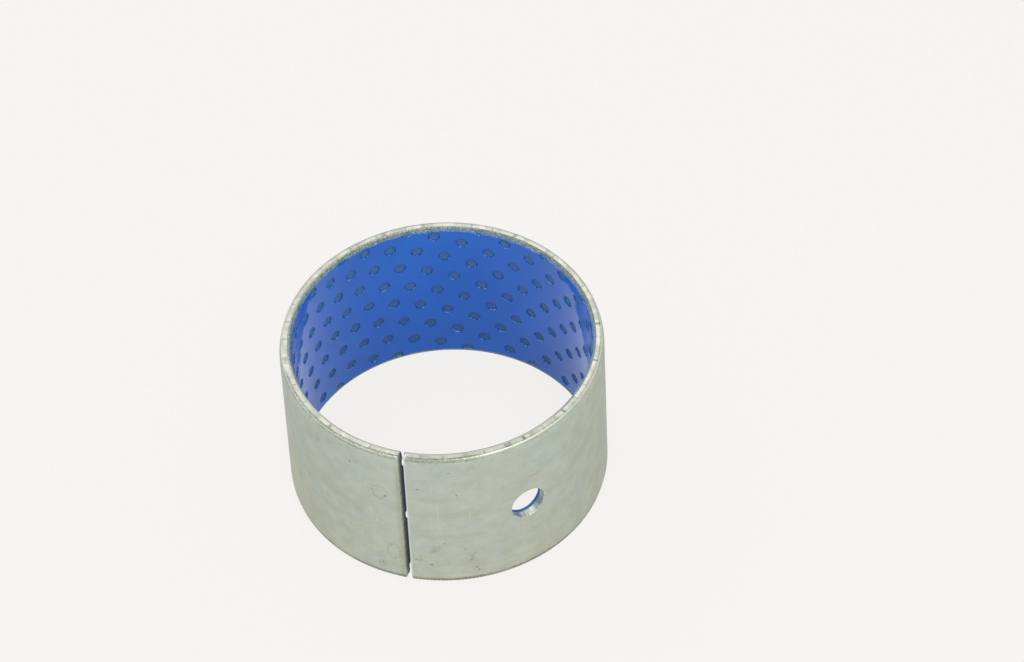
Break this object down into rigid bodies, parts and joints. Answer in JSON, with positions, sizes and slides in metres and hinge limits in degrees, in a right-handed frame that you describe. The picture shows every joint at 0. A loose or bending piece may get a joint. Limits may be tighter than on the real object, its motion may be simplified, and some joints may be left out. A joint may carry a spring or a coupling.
{
  "type": "wrapped composite plain bush",
  "caption": "Rolled steel plain bush with a straight butt seam, an indented blue polymer running surface on a porous bronze interlayer, and one radial oil hole.",
  "frame": {"origin": "on the bore axis, in the lower end face", "axes": "+Z along the bore axis to the upper end face, -Y through the butt seam, oil hole 45 degrees round from the seam towards +X"},
  "size_m": [0.07, 0.07, 0.04],
  "materials": {
    "plated_steel": "tin-grey plating, satin, with rolling marks",
    "porous_bronze": "sintered, granular, greyed",
    "blue_polymer": "smooth and glossy, indented"
  },
  "bodies": {
    "root": {"steel_backing": "plated_steel", "bronze_interlayer": "porous_bronze", "polymer_lining": "blue_polymer"}
  },
  "joints": []
}
